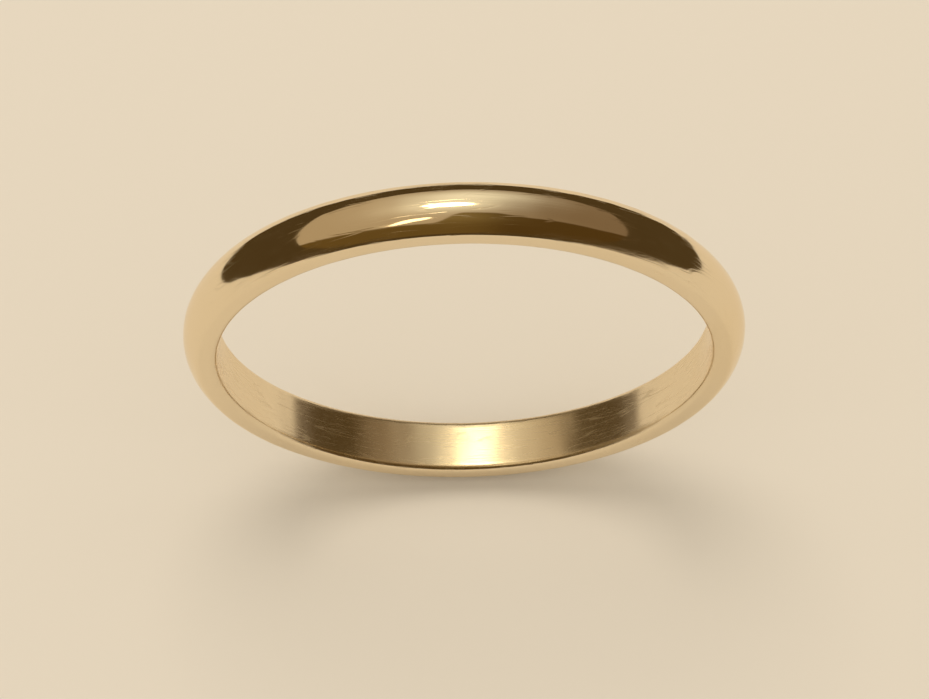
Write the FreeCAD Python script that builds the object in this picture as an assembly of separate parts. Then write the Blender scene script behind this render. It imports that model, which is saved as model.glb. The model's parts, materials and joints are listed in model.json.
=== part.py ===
import FreeCAD, Part
import math
import os

# Plain D-section wedding band, modelled as the single piece of gold that it is.
#
# Frame, in millimetres: the origin is the centre of the finger hole, the finger runs
# along Y, and the band stands on its rim with +Z up.
#
# The section is a D: a flat cylindrical inside, two narrow flat sides, and a domed
# outside. Its inner edges are eased and its outer edges roll into the dome.

# Driving dimensions (mm)
INNER_CIRCUMFERENCE = 57.0   # ring size 57 under ISO 8653
THICKNESS = 1.25             # from the finger hole to the crest of the dome
WIDTH = 2.1                  # along the finger
DOME_RADIUS = 1.34           # crown of the outside, across the width
OUTER_EDGE_RADIUS = 0.25     # where the dome rolls over into each side
INNER_EDGE_RADIUS = 0.2      # eased edge at each mouth of the finger hole

# Derived dimensions (mm)
BORE_RADIUS = INNER_CIRCUMFERENCE / (2.0 * math.pi)
CREST_RADIUS = BORE_RADIUS + THICKNESS
HALF_WIDTH = WIDTH / 2.0

FINGER_AXIS = FreeCAD.Vector(0.0, 1.0, 0.0)
FULL_TURN = 360.0


def section_point(along, radius):
    """A point of the section, in the plane that holds the finger axis and +Z."""
    return FreeCAD.Vector(0.0, along, radius)


def arc_point(centre, arc_radius, tilt):
    """The point of an arc where the outward normal leans by tilt from radial."""
    return centre + section_point(arc_radius * math.sin(tilt), arc_radius * math.cos(tilt))


def edge_arc(centre, arc_radius, first_tilt, last_tilt):
    """An arc of the section about centre, between two tilts of its normal."""
    start = arc_point(centre, arc_radius, first_tilt)
    middle = arc_point(centre, arc_radius, (first_tilt + last_tilt) / 2.0)
    end = arc_point(centre, arc_radius, last_tilt)
    return Part.Arc(start, middle, end).toShape()


def band_section():
    """The closed D-section, with tangent arcs at all four edges."""
    dome_centre = section_point(0.0, CREST_RADIUS - DOME_RADIUS)
    edge_offset = HALF_WIDTH - OUTER_EDGE_RADIUS
    edge_reach = DOME_RADIUS - OUTER_EDGE_RADIUS
    dome_tilt = math.asin(edge_offset / edge_reach)
    edge_height = dome_centre.z + edge_reach * math.cos(dome_tilt)
    inner_offset = HALF_WIDTH - INNER_EDGE_RADIUS
    inner_height = BORE_RADIUS + INNER_EDGE_RADIUS
    quarter = math.pi / 2.0

    edges = [edge_arc(dome_centre, DOME_RADIUS, -dome_tilt, dome_tilt)]
    for side in (1.0, -1.0):
        outer_centre = section_point(side * edge_offset, edge_height)
        inner_centre = section_point(side * inner_offset, inner_height)
        side_top = section_point(side * HALF_WIDTH, edge_height)
        side_foot = section_point(side * HALF_WIDTH, inner_height)
        edges.append(edge_arc(outer_centre, OUTER_EDGE_RADIUS, side * dome_tilt, side * quarter))
        edges.append(Part.LineSegment(side_top, side_foot).toShape())
        edges.append(edge_arc(inner_centre, INNER_EDGE_RADIUS, side * quarter, side * 2.0 * quarter))
    bore_line = Part.LineSegment(section_point(-inner_offset, BORE_RADIUS),
                                 section_point(inner_offset, BORE_RADIUS))
    edges.append(bore_line.toShape())
    return Part.Face(Part.Wire(Part.__sortEdges__(edges)))


def make_band():
    """The band: its section turned once about the finger axis."""
    centre = FreeCAD.Vector(0.0, 0.0, 0.0)
    return band_section().revolve(centre, FINGER_AXIS, FULL_TURN)


def export(node, shape):
    """Check that a sub-part is one sound solid, then write its STEP file."""
    if len(shape.Solids) != 1 or not shape.isValid():
        raise RuntimeError(f"{node} isn't one valid solid")
    shape.Solids[0].exportStep(os.path.join("parts", f"{node}.step"))
    size = shape.optimalBoundingBox()
    print(f"{node}: {size.XLength:.3f} x {size.YLength:.3f} x {size.ZLength:.3f} mm,"
          f" {shape.Volume:.2f} mm3")


def main():
    os.makedirs("parts", exist_ok=True)
    export("band", make_band())


main()
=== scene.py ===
import json
import math

import bpy
import numpy as np
from mathutils import Matrix, Vector


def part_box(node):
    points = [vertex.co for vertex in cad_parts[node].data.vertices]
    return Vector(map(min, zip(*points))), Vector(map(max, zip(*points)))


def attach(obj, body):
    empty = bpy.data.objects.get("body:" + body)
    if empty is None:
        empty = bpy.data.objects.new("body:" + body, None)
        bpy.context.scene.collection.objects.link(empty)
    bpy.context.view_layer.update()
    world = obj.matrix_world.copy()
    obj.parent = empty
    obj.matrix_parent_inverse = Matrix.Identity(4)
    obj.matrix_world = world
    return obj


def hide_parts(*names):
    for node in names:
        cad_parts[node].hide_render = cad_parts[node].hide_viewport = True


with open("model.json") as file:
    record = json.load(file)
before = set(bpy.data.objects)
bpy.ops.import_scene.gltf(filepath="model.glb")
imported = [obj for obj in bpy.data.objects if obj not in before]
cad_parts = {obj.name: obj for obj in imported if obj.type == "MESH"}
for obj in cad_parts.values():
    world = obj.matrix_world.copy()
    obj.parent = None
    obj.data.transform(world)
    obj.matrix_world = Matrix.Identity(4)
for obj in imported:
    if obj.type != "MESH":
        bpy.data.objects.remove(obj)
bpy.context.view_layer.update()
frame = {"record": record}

# The looks of a plain D-section gold wedding band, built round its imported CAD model.
#
# Everything is in metres in the part's own frame: the origin is the centre of the finger
# hole, the finger runs along Y, and the band stands on its rim with +Z up.

MM = 0.001
FULL_TURN = 2 * math.pi
RIGHT = Vector((1.0, 0.0, 0.0))
UP = Vector((0.0, 0.0, 1.0))

# ---------------------------------------------------------------- the band's sizes
BAND_LOW, BAND_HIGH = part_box("band")
FINGER_BORE = frame["record"]["mounts"][0]
BORE_RADIUS = FINGER_BORE["dims"]["r_mm"] * MM
CREST_RADIUS = BAND_HIGH.x
HALF_WIDTH = (BAND_HIGH.y - BAND_LOW.y) / 2
DOME_RADIUS = 1.34 * MM
OUTER_EDGE_RADIUS = 0.25 * MM
INNER_EDGE_RADIUS = 0.2 * MM

# How finely each stretch of the section and the turn round the finger are divided
TURN_STEPS = 720
DOME_STEPS = 60
OUTER_EDGE_STEPS = 12
SIDE_STEPS = 3
INNER_EDGE_STEPS = 6
BORE_STEPS = 16

# ---------------------------------------------------------------- hand finishing
FINISH_SEED = 57
RIPPLE_COUNT = 26            # faint unevenness left by polishing by hand
RIPPLE_TURNS = (9, 70)       # waves in one turn of the band
RIPPLE_DEPTH = (0.00033 * MM, 0.0011 * MM)   # at the fewest waves, and less at more
RIPPLE_LEAN = 1.6 / MM       # how much a wave's phase may change across the section
DENT_COUNT = 46              # shallow knocks from wear
DENT_RADIUS = (0.14 * MM, 0.42 * MM)
DENT_DEPTH = (0.0006 * MM, 0.0028 * MM)

# ---------------------------------------------------------------- gold
GOLD = (0.885, 0.755, 0.545, 1.0)
GOLD_WARM = (0.86, 0.71, 0.475, 1.0)
GOLD_EDGE_TINT = (1.0, 0.96, 0.90, 1.0)
TONE_SHARE = 0.55            # the most of the warm tone that the colour drifts to

# Roughness, from 0 for a perfect mirror, and what each kind of wear adds to it
MIRROR_ROUGHNESS = 0.045
SMUDGE_ROUGHNESS = 0.045
POLISH_ROUGHNESS = 0.03
SCRATCH_ROUGHNESS = 0.12
RUBBED_ROUGHNESS = 0.07
BORE_ROUGHNESS = 0.15

# Relief too fine for the mesh: its unit, and how many of those each kind is high or deep
RELIEF_UNIT = 0.001 * MM
POLISH_RELIEF = 0.135
LATHE_RELIEF = 0.63
SCRATCH_DEPTH = 1.44
BORE_SCRATCH_DEPTH = 0.65
NICK_DEPTH = 2.3

# Noise patterns: about how many bumps they have in a millimetre along each axis, then the
# detail and the roughness of the noise. The first two fill space. The rest lie on the surface,
# with X round the band and Y round its section.
TONE_DRIFT = ((0.16, 0.16, 0.16), 3.0, 0.55)
SMUDGES = ((0.42, 0.42, 0.42), 4.0, 0.62)
POLISH_STREAKS = ((0.8, 9.0, 1.0), 3.0, 0.6)
POLISH_LINES = ((0.10, 26.0, 1.0), 3.0, 0.6)
LATHE_LINES = ((0.03, 16.0, 1.0), 2.0, 0.55)
RUB_PATCHES = ((0.22, 0.6, 1.0), 3.0, 0.6)
SCRATCH_PATCHES = ((0.5, 1.3, 1.0), 1.0, 0.5)

# Levels of those patterns between which the warm tone, the smudges and the rubbing come in
TONE_LEVELS = (0.35, 0.72)
SMUDGE_LEVELS = (0.42, 0.68)
RUB_LEVELS = (0.36, 0.62)

# Where one finish gives way to another, in millimetres
BORE_FINISH_END = (0.02, 0.10)   # outwards from the bore
RUB_START = (-0.10, 0.12)        # along the finger, from the centre of each rolled edge's arc

# Scratches: (slant in degrees, length and spacing in millimetres, shift of the pattern, and the
# level that its patches have to reach, where a higher level leaves fewer). Each lies where a
# stretched noise passes its middle level.
SCRATCHES = [(1.5, 6.5, 0.30, (3.0, 7.0, 0.0), 0.46),
             (-13.0, 5.2, 0.32, (12.0, 12.0, 0.0), 0.52),
             (27.0, 4.6, 0.32, (27.0, 27.0, 0.0), 0.52),
             (-46.0, 4.0, 0.32, (37.0, 37.0, 0.0), 0.52),
             (68.0, 3.6, 0.32, (41.0, 41.0, 0.0), 0.53)]
RUB_SCRATCHES = (4.0, 1.6, 0.12, (53.0, 5.0, 0.0), 0.40)
MIDDLE_LEVEL = 0.5
SCRATCH_WIDTH = 0.010        # about half of a groove's width, in millimetres
PATCH_SOFTNESS = 0.10        # the levels over which a patch fades in

# Nicks, one in some of the cells that divide the surface
NICK_SPACING = 0.85          # a cell's length, in millimetres
NICK_STRETCH = (1.0, 1.6, 1.0)   # nicks are longer round the band than across it
NICK_SIZE = 0.045            # a nick's radius as a share of that length
NICK_CHANCE = (0.55, 0.95)   # cells whose random value is under the first hold no nick

# ---------------------------------------------------------------- light
LAMP_COLOURS = {"glossy": (1.0, 0.84, 0.54), "diffuse": (1.0, 0.86, 0.67)}
LAMP_DISTANCE = 0.45
# Each lamp: its direction from the band, the direction its width runs, its width and height,
# its power in watts, and what it lights
LAMPS = {
    "lamp": ((-0.082, 0.329, 0.940), (1.0, 0.0, 0.0), (0.148, 0.092), 0.178, "glossy"),
    "strip": ((-0.330, -0.366, 0.869), (0.21, 0.16, 0.153), (0.160, 0.050), 0.046, "glossy"),
    "softbox": ((-0.100, 0.420, 0.900), (1.0, 0.0, 0.0), (0.260, 0.260), 0.55, "diffuse"),
}
DAYLIGHT = (0.78, 0.675, 0.525, 1.0)   # falls on the floor evenly from all round

# Dark cards round the upper half of the band, which only its reflections show. Each point
# of their foot is (x, y, z) in millimetres; their top is level.
CARD_TOP = 17.2 * MM
CARD_FOOT = [(-10.0, 25.0, 4.0), (-25.0, 25.0, -8.0), (-25.0, 12.0, -1.5), (-25.0, 0.0, 1.2),
             (-25.0, -10.0, 5.6), (-25.0, -25.0, 12.5), (-16.0, -25.0, 1.0), (0.0, -25.0, 0.5),
             (11.0, -25.0, 1.5), (18.0, -25.0, 11.5), (25.0, -25.0, 13.5), (25.0, -10.0, 5.4),
             (25.0, 0.0, 1.6), (25.0, 12.0, -0.5), (25.0, 25.0, -8.0), (10.0, 25.0, 4.0)]
CARD_COLOUR = (0.077, 0.048, 0.017, 1.0)
CARDS_HIDDEN_FROM = ("camera", "diffuse", "transmission", "volume_scatter", "shadow")

# The room, as the light that comes from each direction
HORIZON_DARK = (0.11, 0.075, 0.045, 1.0)
HORIZON_RISE = (0.10, 0.30)  # sines of the elevations between which the ceiling takes over
CEILING_BRIGHT = (0.475, 0.366, 0.23, 1.0)
CEILING_DIM = (0.225, 0.152, 0.084, 1.0)
CEILING_DIM_TOWARDS = (0.823, 0.421, 0.381)
CEILING_DIM_REACH = (0.0, 0.88)   # cosines of the angles from there over which it dims
GLOW = (0.98, 1.0, 0.86, 1.0)
# Each glow on the ceiling: its direction, strength and sharpness
GLOWS = [((-0.053, 0.321, 0.946), 0.60, 15.7), ((0.065, 0.764, 0.642), 0.64, 18.0)]

# The camera's side of the room is dark up to an outline, which is given against how far to
# the right it is: a level, and then rises, each (from, to, rise).
VIEWER_LEFT = (0.138, 0.081, 0.020, 1.0)
VIEWER_RIGHT = (0.088, 0.047, 0.0105, 1.0)
VIEWER_SIDES = (-0.05, 0.35)   # how far right the first colour gives way to the second
VIEWER_GLOW = (0.62, 0.50, 0.22, 1.0)
VIEWER_GLOW_TOWARDS = (0.0, -0.30, 0.954)
VIEWER_GLOW_STRENGTH = 0.13
VIEWER_GLOW_SHARPNESS = 22.0
OUTLINE_LEVEL = -0.12
OUTLINE_RISES = [(-0.20, 0.02, 0.50), (0.22, 0.50, -0.18), (0.50, 1.40, -0.10)]
OUTLINE_SOFTNESS = 0.04
NEAREST_DEPTH = 0.02         # directions nearer the picture's plane count as this deep
BACKDROP = (0.78, 0.665, 0.505, 1.0)

# ---------------------------------------------------------------- floor and camera
FLOOR_RADIUS = 1.3
FLOOR_RINGS = 24
FLOOR_CROWDING = 2           # the power that crowds its rings together near the band
FLOOR_SPOKES = 96
FLOOR_COLOUR = (0.80, 0.79, 0.77, 1.0)
FLOOR_FADE = (0.050, 0.170)  # distances over which the floor turns into the backdrop

CAMERA_DISTANCE = 0.122
CAMERA_ELEVATION = math.radians(63.0)
CAMERA_ROLL = math.radians(-1.23)
CAMERA_AIM = Vector((0.0, 0.0, -0.8 * MM))
CAMERA_CLIP = (0.01, 10.0)
TOWARDS_CAMERA = Vector((0.0, -math.cos(CAMERA_ELEVATION), math.sin(CAMERA_ELEVATION)))
SENSOR_WIDTH = 36.0
BAND_SHARE_OF_FRAME = 0.60


# ================================================================ mesh
def arc(along, radius, arc_radius, first, last, steps):
    """Points of the section on an arc, by the tilt of its normal, without the last one."""
    tilt = np.linspace(first, last, steps, endpoint=False)
    return np.stack([along + arc_radius * np.sin(tilt), radius + arc_radius * np.cos(tilt)], 1)


def run(start, end, steps):
    """Points of the section on a straight stretch, without the last one."""
    share = np.linspace(0.0, 1.0, steps, endpoint=False)[:, None]
    return np.array(start) * (1.0 - share) + np.array(end) * share


def band_section():
    """The closed D-section, as (along the finger, from its axis), from one side round."""
    dome_middle = CREST_RADIUS - DOME_RADIUS
    edge_offset = HALF_WIDTH - OUTER_EDGE_RADIUS
    edge_reach = DOME_RADIUS - OUTER_EDGE_RADIUS
    dome_tilt = math.asin(edge_offset / edge_reach)
    edge_height = dome_middle + edge_reach * math.cos(dome_tilt)
    inner_offset = HALF_WIDTH - INNER_EDGE_RADIUS
    inner_height = BORE_RADIUS + INNER_EDGE_RADIUS
    quarter = FULL_TURN / 4
    stretches = [
        run((inner_offset, BORE_RADIUS), (-inner_offset, BORE_RADIUS), BORE_STEPS),
        arc(-inner_offset, inner_height, INNER_EDGE_RADIUS, -2 * quarter, -quarter, INNER_EDGE_STEPS),
        run((-HALF_WIDTH, inner_height), (-HALF_WIDTH, edge_height), SIDE_STEPS),
        arc(-edge_offset, edge_height, OUTER_EDGE_RADIUS, -quarter, -dome_tilt, OUTER_EDGE_STEPS),
        arc(0.0, dome_middle, DOME_RADIUS, -dome_tilt, dome_tilt, DOME_STEPS),
        arc(edge_offset, edge_height, OUTER_EDGE_RADIUS, dome_tilt, quarter, OUTER_EDGE_STEPS),
        run((HALF_WIDTH, edge_height), (HALF_WIDTH, inner_height), SIDE_STEPS),
        arc(inner_offset, inner_height, INNER_EDGE_RADIUS, quarter, 2 * quarter, INNER_EDGE_STEPS),
    ]
    return np.concatenate(stretches)


def section_normals(section):
    """The outward direction at each point of the closed section."""
    step = np.roll(section, -1, 0) - np.roll(section, 1, 0)
    normal = np.stack([-step[:, 1], step[:, 0]], 1)
    return normal / np.linalg.norm(normal, axis=1)[:, None]


def lengths_round(section):
    """The distance round the section to each of its points, and the whole way round."""
    steps = np.linalg.norm(np.roll(section, -1, 0) - section, axis=1)
    return np.concatenate([[0.0], np.cumsum(steps)[:-1]]), steps.sum()


def ripples(rng, angle, across):
    """Faint waves over the whole surface, periodic round the band."""
    height = np.zeros(np.broadcast(angle, across).shape)
    for _ in range(RIPPLE_COUNT):
        turns = rng.integers(*RIPPLE_TURNS)
        lean = rng.uniform(-RIPPLE_LEAN, RIPPLE_LEAN)
        phase = rng.uniform(0.0, FULL_TURN)
        depth = rng.uniform(*RIPPLE_DEPTH) / math.sqrt(turns / RIPPLE_TURNS[0])
        height += depth * np.sin(turns * angle + lean * across + phase)
    return height


def dents(rng, angle, across, whole):
    """Shallow round knocks, anywhere on the surface."""
    height = np.zeros(np.broadcast(angle, across).shape)
    for _ in range(DENT_COUNT):
        at_angle = rng.uniform(0.0, FULL_TURN)
        at_across = rng.uniform(0.0, whole)
        radius = rng.uniform(*DENT_RADIUS)
        depth = rng.uniform(*DENT_DEPTH)
        turn = (angle - at_angle + FULL_TURN / 2) % FULL_TURN - FULL_TURN / 2
        side = (across - at_across + whole / 2) % whole - whole / 2
        height -= depth * np.exp(-((turn * CREST_RADIUS) ** 2 + side ** 2) / radius ** 2)
    return height


def grid_faces(turns, places):
    """Four-sided faces over a grid of points that closes both ways."""
    turn = np.arange(turns)[:, None]
    place = np.arange(places)[None, :]
    next_turn = (turn + 1) % turns
    next_place = (place + 1) % places
    corners = [turn * places + place, next_turn * places + place,
               next_turn * places + next_place, turn * places + next_place]
    return np.stack(corners, 2).reshape(-1, 4)


def add_surface_map(mesh, across, whole):
    """The map that the finish follows, in millimetres: round the band, and round its section."""
    across_ends = np.append(across, whole) / MM
    round_ends = np.linspace(0.0, FULL_TURN * CREST_RADIUS / MM, TURN_STEPS + 1)
    round_from, round_to = round_ends[:-1, None], round_ends[1:, None]
    across_from, across_to = across_ends[None, :-1], across_ends[None, 1:]
    corners = [(round_from, across_from), (round_to, across_from),
               (round_to, across_to), (round_from, across_to)]
    places = np.stack([np.stack(np.broadcast_arrays(*corner), 2) for corner in corners], 2)
    layer = mesh.uv_layers.new(name="surface_mm")
    layer.data.foreach_set("uv", places.reshape(-1).astype(np.float32))


def make_band():
    """The band as one closed mesh: its section carried once round the finger axis."""
    rng = np.random.default_rng(FINISH_SEED)
    section = band_section()
    normals = section_normals(section)
    across, whole = lengths_round(section)

    # The turn starts at the foot, where the band stands, so the seam of the pattern is hidden.
    angle = np.linspace(0.0, FULL_TURN, TURN_STEPS, endpoint=False)[:, None]
    relief = ripples(rng, angle, across[None, :]) + dents(rng, angle, across[None, :], whole)
    along = section[None, :, 0] + relief * normals[None, :, 0]
    radius = section[None, :, 1] + relief * normals[None, :, 1]
    points = np.stack([-radius * np.sin(angle), along, -radius * np.cos(angle)], 2).reshape(-1, 3)
    faces = grid_faces(TURN_STEPS, len(section))

    mesh = bpy.data.meshes.new("gold_band")
    mesh.from_pydata(points.tolist(), [], faces.tolist())
    mesh.polygons.foreach_set("use_smooth", np.ones(len(faces), bool))
    add_surface_map(mesh, across, whole)
    mesh.update()

    band = bpy.data.objects.new("gold_band", mesh)
    bpy.context.scene.collection.objects.link(band)
    return band


# ================================================================ node helpers
class Nodes:
    """A short way to write a node tree: every method but feed adds nodes."""

    # Places of a colour mix node's inputs, and of its output
    SHARE, FIRST, SECOND, RESULT = 0, 6, 7, 2

    def __init__(self, tree):
        self.tree = tree
        tree.nodes.clear()

    def add(self, kind, **settings):
        """A new node."""
        node = self.tree.nodes.new(kind)
        for name, value in settings.items():
            setattr(node, name, value)
        return node

    def feed(self, socket, value):
        """Gives a socket its value, or links it to another node's output."""
        if isinstance(value, bpy.types.NodeSocket):
            self.tree.links.new(value, socket)
        else:
            socket.default_value = value

    def math(self, operation, *values):
        node = self.add("ShaderNodeMath", operation=operation)
        for socket, value in zip(node.inputs, values):
            self.feed(socket, value)
        return node.outputs[0]

    def total(self, start, *parts):
        """The start value plus each part times its weight."""
        for part, weight in parts:
            start = self.math("ADD", start, self.math("MULTIPLY", part, weight))
        return start

    def dot(self, first, second):
        node = self.add("ShaderNodeVectorMath", operation="DOT_PRODUCT")
        self.feed(node.inputs[0], first)
        self.feed(node.inputs[1], second)
        return node.outputs["Value"]

    def length(self, vector):
        node = self.add("ShaderNodeVectorMath", operation="LENGTH")
        self.feed(node.inputs[0], vector)
        return node.outputs["Value"]

    def ramp(self, value, low, high, to_low=0.0, to_high=1.0):
        """Rises smoothly from to_low to to_high while the value goes from low to high."""
        node = self.add("ShaderNodeMapRange", interpolation_type="SMOOTHSTEP")
        for name, part in (("Value", value), ("From Min", low), ("From Max", high),
                           ("To Min", to_low), ("To Max", to_high)):
            self.feed(node.inputs[name], part)
        return node.outputs[0]

    def mix(self, share, first, second, blend="MIX"):
        """The first colour, with a share of the second mixed in."""
        node = self.add("ShaderNodeMix", data_type="RGBA", blend_type=blend)
        self.feed(node.inputs[self.SHARE], share)
        self.feed(node.inputs[self.FIRST], first)
        self.feed(node.inputs[self.SECOND], second)
        return node.outputs[self.RESULT]

    def lit(self, colour, towards, glow_colour, centre, strength, sharpness):
        """The colour with a soft round glow added about one direction."""
        off_centre = self.math("SUBTRACT", self.dot(towards, centre), 1.0)
        glow = self.math("EXPONENT", self.math("MULTIPLY", off_centre, sharpness))
        return self.mix(self.math("MULTIPLY", glow, strength), colour, glow_colour, "ADD")

    def mapping(self, vector, scale, turn=0.0, shift=(0.0, 0.0, 0.0)):
        node = self.add("ShaderNodeMapping")
        self.feed(node.inputs["Vector"], vector)
        node.inputs["Location"].default_value = shift
        node.inputs["Rotation"].default_value = (0.0, 0.0, turn)
        node.inputs["Scale"].default_value = scale
        return node.outputs[0]

    def noise(self, vector, stretch, detail=0.0, roughness=0.5, turn=0.0, shift=(0.0, 0.0, 0.0)):
        """Noise from 0 to 1, with about as many bumps to a unit of each axis as stretch says."""
        node = self.add("ShaderNodeTexNoise")
        self.feed(node.inputs["Vector"], self.mapping(vector, stretch, turn, shift))
        node.inputs["Scale"].default_value = 1.0
        node.inputs["Detail"].default_value = detail
        node.inputs["Roughness"].default_value = roughness
        return node.outputs[0]


# ================================================================ gold
def scratches(nodes, surface, slant, length, spacing, shift, keep):
    """Hairline scratches, from 0 to 1 in the groove: long thin lines at one slant, in patches."""
    turn = math.radians(slant)
    stretch = (1.0 / length, 1.0 / spacing, 1.0)
    lines = nodes.noise(surface, stretch, turn=turn, shift=shift)
    off_line = nodes.math("ABSOLUTE", nodes.math("SUBTRACT", lines, MIDDLE_LEVEL))
    groove = nodes.ramp(off_line, 0.0, SCRATCH_WIDTH / spacing, 1.0, 0.0)
    patches = nodes.noise(surface, *SCRATCH_PATCHES, turn, shift)
    shown = nodes.ramp(patches, keep, keep + PATCH_SOFTNESS)
    return nodes.math("MULTIPLY", groove, shown)


def all_scratches(nodes, surface, rubbed):
    """Every pattern of scratches together, with one of them only where the gold is rubbed."""
    grooves = nodes.math("MULTIPLY", scratches(nodes, surface, *RUB_SCRATCHES), rubbed)
    for pattern in SCRATCHES:
        grooves = nodes.math("MAXIMUM", grooves, scratches(nodes, surface, *pattern))
    return grooves


def nicks(nodes, surface):
    """Small scattered nicks, from 0 to 1 in the middle of each."""
    cells = nodes.add("ShaderNodeTexVoronoi")
    nodes.feed(cells.inputs["Vector"], nodes.mapping(surface, NICK_STRETCH))
    cells.inputs["Scale"].default_value = 1.0 / NICK_SPACING
    nick = nodes.ramp(cells.outputs["Distance"], 0.0, NICK_SIZE, 1.0, 0.0)
    chance = nodes.add("ShaderNodeSeparateColor")
    nodes.feed(chance.inputs[0], cells.outputs["Color"])
    return nodes.math("MULTIPLY", nick, nodes.ramp(chance.outputs[0], *NICK_CHANCE))


def inside_the_hole(nodes, place):
    """1 on the inside of the band and 0 elsewhere, by the distance from the finger axis."""
    from_axis = nodes.length(nodes.mapping(place, (1.0 / MM, 0.0, 1.0 / MM)))
    full, gone = (BORE_RADIUS / MM + outwards for outwards in BORE_FINISH_END)
    return nodes.ramp(from_axis, full, gone, 1.0, 0.0)


def rubbed_edges(nodes, surface, in_mm):
    """Patches on the rolled edges and the flat sides, which meet whatever is worn beside them."""
    apart = nodes.add("ShaderNodeSeparateXYZ")
    nodes.feed(apart.inputs[0], in_mm)
    off_middle = nodes.math("ABSOLUTE", apart.outputs["Y"])
    none, full = ((HALF_WIDTH - OUTER_EDGE_RADIUS) / MM + along for along in RUB_START)
    at_edge = nodes.ramp(off_middle, none, full)
    patches = nodes.ramp(nodes.noise(surface, *RUB_PATCHES), *RUB_LEVELS)
    return nodes.math("MULTIPLY", at_edge, patches)


def gold_colour(nodes, in_mm):
    """A gold that drifts a little between paler and warmer."""
    drift = nodes.ramp(nodes.noise(in_mm, *TONE_DRIFT), *TONE_LEVELS, 0.0, TONE_SHARE)
    return nodes.mix(drift, GOLD, GOLD_WARM)


def gold_roughness(nodes, surface, in_mm, inside, rubbed, grooves):
    """Dulled in soft patches by smudges, along the polishing lines, and wherever it is worn."""
    smudges = nodes.ramp(nodes.noise(in_mm, *SMUDGES), *SMUDGE_LEVELS)
    streaks = nodes.noise(surface, *POLISH_STREAKS)
    return nodes.total(MIRROR_ROUGHNESS, (smudges, SMUDGE_ROUGHNESS), (streaks, POLISH_ROUGHNESS),
                       (grooves, SCRATCH_ROUGHNESS), (rubbed, RUBBED_ROUGHNESS),
                       (inside, BORE_ROUGHNESS))


def gold_relief(nodes, surface, inside, grooves):
    """Polishing lines round the band, lathe lines inside it, and the depth of its wear."""
    polish_lines = nodes.noise(surface, *POLISH_LINES)
    lathe_lines = nodes.math("MULTIPLY", nodes.noise(surface, *LATHE_LINES), inside)
    depth = nodes.ramp(inside, 0.0, 1.0, -SCRATCH_DEPTH, -BORE_SCRATCH_DEPTH)
    height = nodes.total(0.0, (polish_lines, POLISH_RELIEF), (lathe_lines, LATHE_RELIEF),
                         (grooves, depth), (nicks(nodes, surface), -NICK_DEPTH))
    bump = nodes.add("ShaderNodeBump")
    bump.inputs["Strength"].default_value = 1.0
    bump.inputs["Distance"].default_value = RELIEF_UNIT
    nodes.feed(bump.inputs["Height"], height)
    return bump.outputs[0]


def polished_gold():
    """Mirror-polished 14 ct gold that has been worn a little."""
    material = bpy.data.materials.new("polished_gold")
    material.use_nodes = True
    nodes = Nodes(material.node_tree)
    output = nodes.add("ShaderNodeOutputMaterial")
    shader = nodes.add("ShaderNodeBsdfPrincipled")
    nodes.feed(output.inputs["Surface"], shader.outputs[0])
    shader.inputs["Metallic"].default_value = 1.0
    shader.inputs["Specular Tint"].default_value = GOLD_EDGE_TINT
    surface = nodes.add("ShaderNodeUVMap", uv_map="surface_mm").outputs[0]
    place = nodes.add("ShaderNodeTexCoord").outputs["Object"]
    in_mm = nodes.mapping(place, (1.0 / MM,) * 3)
    inside = inside_the_hole(nodes, place)
    rubbed = rubbed_edges(nodes, surface, in_mm)
    grooves = all_scratches(nodes, surface, rubbed)
    nodes.feed(shader.inputs["Base Color"], gold_colour(nodes, in_mm))
    nodes.feed(shader.inputs["Roughness"],
               gold_roughness(nodes, surface, in_mm, inside, rubbed, grooves))
    nodes.feed(shader.inputs["Normal"], gold_relief(nodes, surface, inside, grooves))
    return material


# ================================================================ floor, light, camera
def floor_mesh():
    """A flat disc of rings and spokes, level with the foot of the band."""
    level = BAND_LOW.z
    rings = np.linspace(0.0, 1.0, FLOOR_RINGS + 1)[1:] ** FLOOR_CROWDING * FLOOR_RADIUS
    spokes = np.linspace(0.0, FULL_TURN, FLOOR_SPOKES, endpoint=False)
    points = [(0.0, 0.0, level)]
    points += [(ring * math.cos(spoke), ring * math.sin(spoke), level)
               for ring in rings for spoke in spokes]
    faces = [(0, 1 + spoke, 1 + (spoke + 1) % FLOOR_SPOKES) for spoke in range(FLOOR_SPOKES)]
    for ring in range(FLOOR_RINGS - 1):
        inner = 1 + ring * FLOOR_SPOKES
        outer = inner + FLOOR_SPOKES
        for spoke in range(FLOOR_SPOKES):
            after = (spoke + 1) % FLOOR_SPOKES
            faces.append((inner + spoke, outer + spoke, outer + after, inner + after))
    mesh = bpy.data.meshes.new("floor")
    mesh.from_pydata(points, [], faces)
    return mesh


def pale_floor():
    """Matt and pale near the band, and just like the backdrop further off, so that no edge shows."""
    material = bpy.data.materials.new("pale_floor")
    material.use_nodes = True
    nodes = Nodes(material.node_tree)
    output = nodes.add("ShaderNodeOutputMaterial")
    near = nodes.add("ShaderNodeBsdfDiffuse")
    near.inputs["Color"].default_value = FLOOR_COLOUR
    far = nodes.add("ShaderNodeEmission")
    far.inputs["Color"].default_value = BACKDROP
    distance = nodes.length(nodes.add("ShaderNodeTexCoord").outputs["Object"])
    blend = nodes.add("ShaderNodeMixShader")
    nodes.feed(blend.inputs[0], nodes.ramp(distance, *FLOOR_FADE))
    nodes.feed(blend.inputs[1], near.outputs[0])
    nodes.feed(blend.inputs[2], far.outputs[0])
    nodes.feed(output.inputs["Surface"], blend.outputs[0])
    return material


def make_floor():
    """A plain pale floor that the band stands on."""
    mesh = floor_mesh()
    mesh.materials.append(pale_floor())
    floor = bpy.data.objects.new("floor", mesh)
    bpy.context.scene.collection.objects.link(floor)


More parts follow.
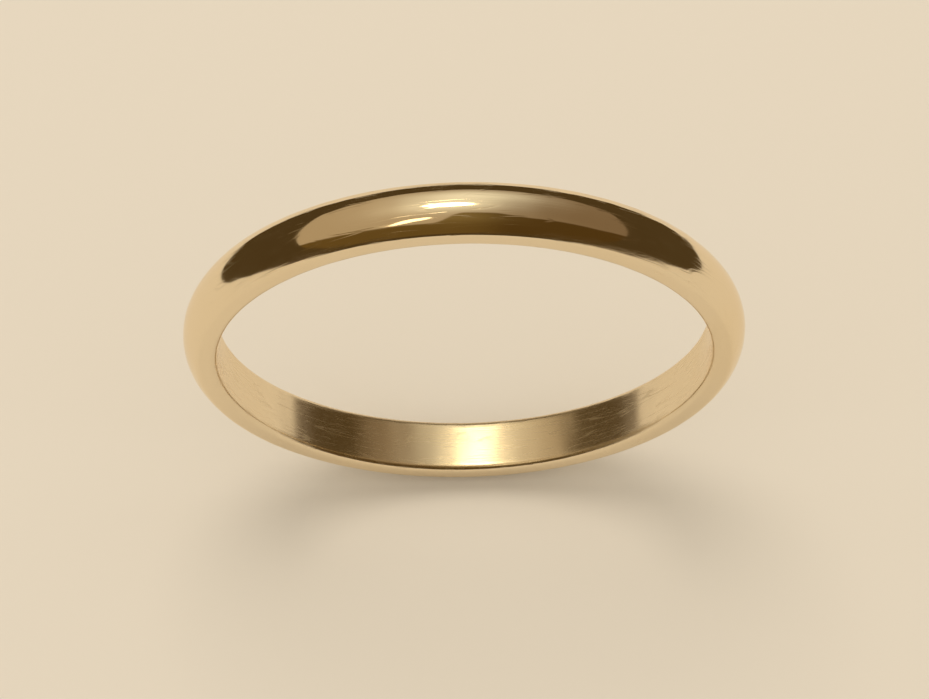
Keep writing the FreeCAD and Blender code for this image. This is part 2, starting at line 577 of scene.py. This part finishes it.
def make_lamps():
    """A lamp and a strip that only the gold reflects, and a softbox that lights the floor."""
    for name, (towards, width_runs, size, watts, lights) in LAMPS.items():
        data = bpy.data.lights.new(name, "AREA")
        data.shape = "ELLIPSE"
        data.size, data.size_y = size
        data.energy = watts
        data.color = LAMP_COLOURS[lights]
        outward = Vector(towards).normalized()
        height_runs = outward.cross(Vector(width_runs)).normalized()
        turn = Matrix((height_runs.cross(outward), height_runs, outward)).transposed()
        lamp = bpy.data.objects.new(name, data)
        lamp.matrix_world = Matrix.Translation(outward * LAMP_DISTANCE) @ turn.to_4x4()
        lamp.visible_camera = False
        lamp.visible_diffuse = lights == "diffuse"
        lamp.visible_glossy = lights == "glossy"
        bpy.context.scene.collection.objects.link(lamp)


def dark_card():
    """A colour that stays the same whatever lights it."""
    material = bpy.data.materials.new("dark_card")
    material.use_nodes = True
    nodes = Nodes(material.node_tree)
    glow = nodes.add("ShaderNodeEmission")
    glow.inputs["Color"].default_value = CARD_COLOUR
    output = nodes.add("ShaderNodeOutputMaterial")
    nodes.feed(output.inputs["Surface"], glow.outputs[0])
    return material


def make_cards():
    """Dark cards in a square, which the polished gold reflects and nothing else sees."""
    count = len(CARD_FOOT)
    points = [(x * MM, y * MM, z * MM) for x, y, z in CARD_FOOT]
    points += [(x, y, CARD_TOP) for x, y, _ in points]
    faces = [(card, (card + 1) % count, (card + 1) % count + count, card + count)
             for card in range(count)]
    mesh = bpy.data.meshes.new("cards")
    mesh.from_pydata(points, [], faces)
    mesh.materials.append(dark_card())
    cards = bpy.data.objects.new("cards", mesh)
    for kind in CARDS_HIDDEN_FROM:
        setattr(cards, "visible_" + kind, False)
    bpy.context.scene.collection.objects.link(cards)


def ceiling_light(nodes, towards):
    """A warm ceiling that is dimmer to one side, with two glows on it."""
    dimness = nodes.ramp(nodes.dot(towards, CEILING_DIM_TOWARDS), *CEILING_DIM_REACH)
    ceiling = nodes.mix(dimness, CEILING_BRIGHT, CEILING_DIM)
    for centre, strength, sharpness in GLOWS:
        ceiling = nodes.lit(ceiling, towards, GLOW, centre, strength, sharpness)
    return ceiling


def with_viewer(nodes, towards, ceiling):
    """The ceiling, with the dark shape of the camera's side of the room in front of it."""
    # A direction's place on a picture of that side: how far right, and how far up.
    depth = nodes.math("MAXIMUM", nodes.dot(towards, TOWARDS_CAMERA), NEAREST_DEPTH)
    sideways = nodes.math("DIVIDE", nodes.dot(towards, RIGHT), depth)
    upwards = nodes.math("DIVIDE", nodes.dot(towards, TOWARDS_CAMERA.cross(RIGHT)), depth)
    outline = OUTLINE_LEVEL
    for start, end, rise in OUTLINE_RISES:
        outline = nodes.math("ADD", outline, nodes.ramp(sideways, start, end, 0.0, rise))
    over = nodes.math("SUBTRACT", upwards, outline)
    beyond = nodes.ramp(over, -OUTLINE_SOFTNESS, OUTLINE_SOFTNESS)
    viewer = nodes.mix(nodes.ramp(sideways, *VIEWER_SIDES), VIEWER_LEFT, VIEWER_RIGHT)
    viewer = nodes.lit(viewer, towards, VIEWER_GLOW, VIEWER_GLOW_TOWARDS,
                       VIEWER_GLOW_STRENGTH, VIEWER_GLOW_SHARPNESS)
    return nodes.mix(beyond, viewer, ceiling)


def make_room():
    """What the band reflects, the even light that the floor gets, and the backdrop."""
    world = bpy.data.worlds.new("room")
    bpy.context.scene.world = world
    world.use_nodes = True
    nodes = Nodes(world.node_tree)
    towards = nodes.add("ShaderNodeTexCoord").outputs["Generated"]
    raised = nodes.ramp(nodes.dot(towards, UP), *HORIZON_RISE)
    overhead = with_viewer(nodes, towards, ceiling_light(nodes, towards))
    room = nodes.mix(raised, HORIZON_DARK, overhead)
    path = nodes.add("ShaderNodeLightPath")
    room = nodes.mix(path.outputs["Is Diffuse Ray"], room, DAYLIGHT)
    room = nodes.mix(path.outputs["Is Camera Ray"], room, BACKDROP)
    background = nodes.add("ShaderNodeBackground")
    nodes.feed(background.inputs["Color"], room)
    output = nodes.add("ShaderNodeOutputWorld")
    nodes.feed(output.inputs["Surface"], background.outputs[0])


def make_camera():
    """Looks down on the band from the front, from near enough to give a strong perspective."""
    data = bpy.data.cameras.new("camera")
    data.sensor_width = SENSOR_WIDTH
    shown_width = 2 * CREST_RADIUS / BAND_SHARE_OF_FRAME
    data.lens = SENSOR_WIDTH * CAMERA_DISTANCE / shown_width
    data.clip_start, data.clip_end = CAMERA_CLIP
    camera = bpy.data.objects.new("camera", data)
    facing = TOWARDS_CAMERA.to_track_quat("Z", "Y").to_matrix().to_4x4()
    place = CAMERA_AIM + TOWARDS_CAMERA * CAMERA_DISTANCE
    camera.matrix_world = Matrix.Translation(place) @ facing @ Matrix.Rotation(CAMERA_ROLL, 4, "Z")
    bpy.context.scene.collection.objects.link(camera)
    bpy.context.scene.camera = camera


# Colours come out as they are given, with no film curve.
bpy.context.scene.view_settings.view_transform = "Standard"

make_camera()
make_room()
make_lamps()
make_cards()
make_floor()
gold_band = make_band()
gold_band.data.materials.append(polished_gold())
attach(gold_band, "root")
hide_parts("band")
